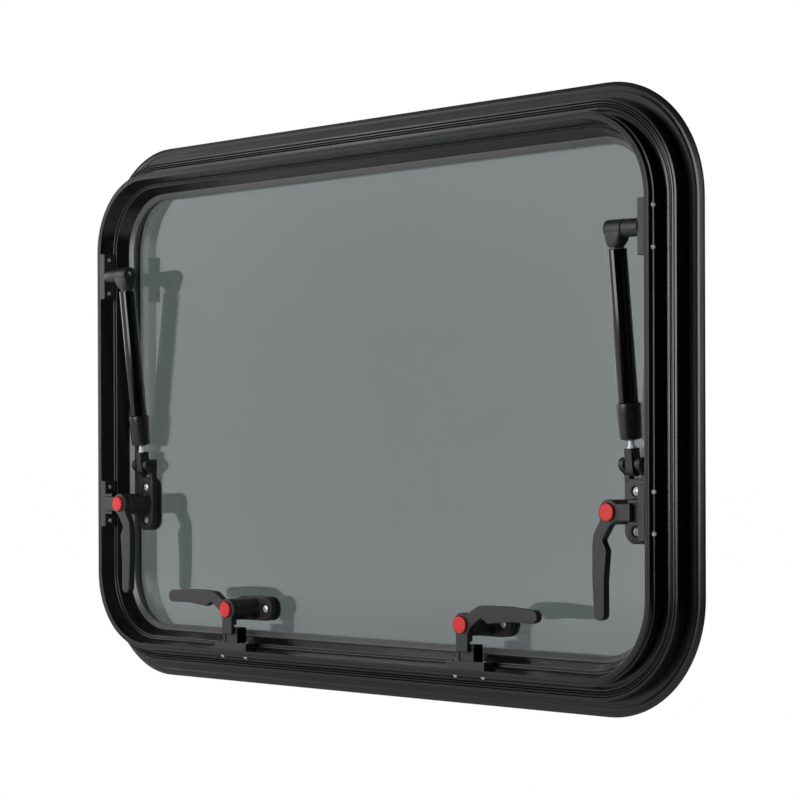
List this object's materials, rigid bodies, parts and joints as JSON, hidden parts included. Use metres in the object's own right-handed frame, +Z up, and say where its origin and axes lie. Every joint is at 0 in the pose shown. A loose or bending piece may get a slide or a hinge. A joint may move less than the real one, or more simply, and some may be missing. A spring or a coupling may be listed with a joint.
{
  "type": "caravan window",
  "caption": "Top-hung caravan window with a moulded black frame, tinted double pane, stays at both sides and lever latches with red push-buttons.",
  "frame": {"origin": "on the flange's flat seat face, in the middle of its bottom run", "axes": "+X right as seen from indoors, +Y outdoors through the wall, +Z up"},
  "size_m": [0.748, 0.0615, 0.5001],
  "materials": {
    "black_frame": "satin moulded black",
    "black_plastic": "satin moulded black",
    "dark_plastic": "matt dark grey",
    "grey_rubber": "matt grey rubber",
    "tinted_pane": "clear grey-tinted acrylic",
    "red_plastic": "smooth red",
    "bright_steel": "zinc-plated bright"
  },
  "bodies": {
    "window": {"outer_frame": "black_frame", "sash_seal": "grey_rubber", "inner_pane": "tinted_pane", "pane_inserts": "black_plastic", "pane_spacer": "black_frame", "sash_rim": "black_frame", "outer_pane": "tinted_pane", "hinge_rail": "black_frame", "hinge_strip": "black_frame", "hinge_end_caps": "dark_plastic", "stay_plate_left": "black_plastic", "stay_head_left": "black_plastic", "stay_tube_left": "black_plastic", "stay_collar_left": "dark_plastic", "stay_rod_left": "bright_steel", "stay_foot_left": "black_plastic", "stay_plate_right": "black_plastic", "stay_head_right": "black_plastic", "stay_tube_right": "black_plastic", "stay_collar_right": "dark_plastic", "stay_rod_right": "bright_steel", "stay_foot_right": "black_plastic", "stay_bolts": "bright_steel", "stay_pins": "bright_steel", "bracket_left": "black_plastic", "bracket_right": "black_plastic", "bracket_bottom_left": "black_plastic", "bracket_bottom_right": "black_plastic", "striker_left": "black_plastic", "striker_right": "black_plastic", "striker_bottom_left": "black_plastic", "striker_bottom_right": "black_plastic", "bracket_screws": "bright_steel", "plate_screws": "bright_steel"},
    "lever_left": {"lever_left": "black_plastic"},
    "button_left": {"button_left": "red_plastic"},
    "lever_right": {"lever_right": "black_plastic"},
    "button_right": {"button_right": "red_plastic"},
    "lever_bottom_left": {"lever_bottom_left": "black_plastic"},
    "button_bottom_left": {"button_bottom_left": "red_plastic"},
    "lever_bottom_right": {"lever_bottom_right": "black_plastic"},
    "button_bottom_right": {"button_bottom_right": "red_plastic"}
  },
  "joints": [
    {"name": "lever_left_turn", "type": "hinge", "parent": "window", "child": "lever_left", "pos_m": [-0.309, -0.0315, 0.15385], "axis": [0, -1, 0], "range_deg": [0, 90]},
    {"name": "button_left_press", "type": "slide", "parent": "lever_left", "child": "button_left", "axis": [0, 1, 0], "range_m": [0, 0.0022], "stiffness_N_per_m": 600},
    {"name": "lever_right_turn", "type": "hinge", "parent": "window", "child": "lever_right", "pos_m": [0.309, -0.0315, 0.15385], "axis": [0, 1, 0], "range_deg": [0, 90]},
    {"name": "button_right_press", "type": "slide", "parent": "lever_right", "child": "button_right", "axis": [0, 1, 0], "range_m": [0, 0.0022], "stiffness_N_per_m": 600},
    {"name": "lever_bottom_left_turn", "type": "hinge", "parent": "window", "child": "lever_bottom_left", "pos_m": [-0.1496, -0.0315, 0.06005], "axis": [0, 1, 0], "range_deg": [0, 90]},
    {"name": "button_bottom_left_press", "type": "slide", "parent": "lever_bottom_left", "child": "button_bottom_left", "axis": [0, 1, 0], "range_m": [0, 0.0022], "stiffness_N_per_m": 600},
    {"name": "lever_bottom_right_turn", "type": "hinge", "parent": "window", "child": "lever_bottom_right", "pos_m": [0.1496, -0.0315, 0.06005], "axis": [0, -1, 0], "range_deg": [0, 90]},
    {"name": "button_bottom_right_press", "type": "slide", "parent": "lever_bottom_right", "child": "button_bottom_right", "axis": [0, 1, 0], "range_m": [0, 0.0022], "stiffness_N_per_m": 600}
  ]
}
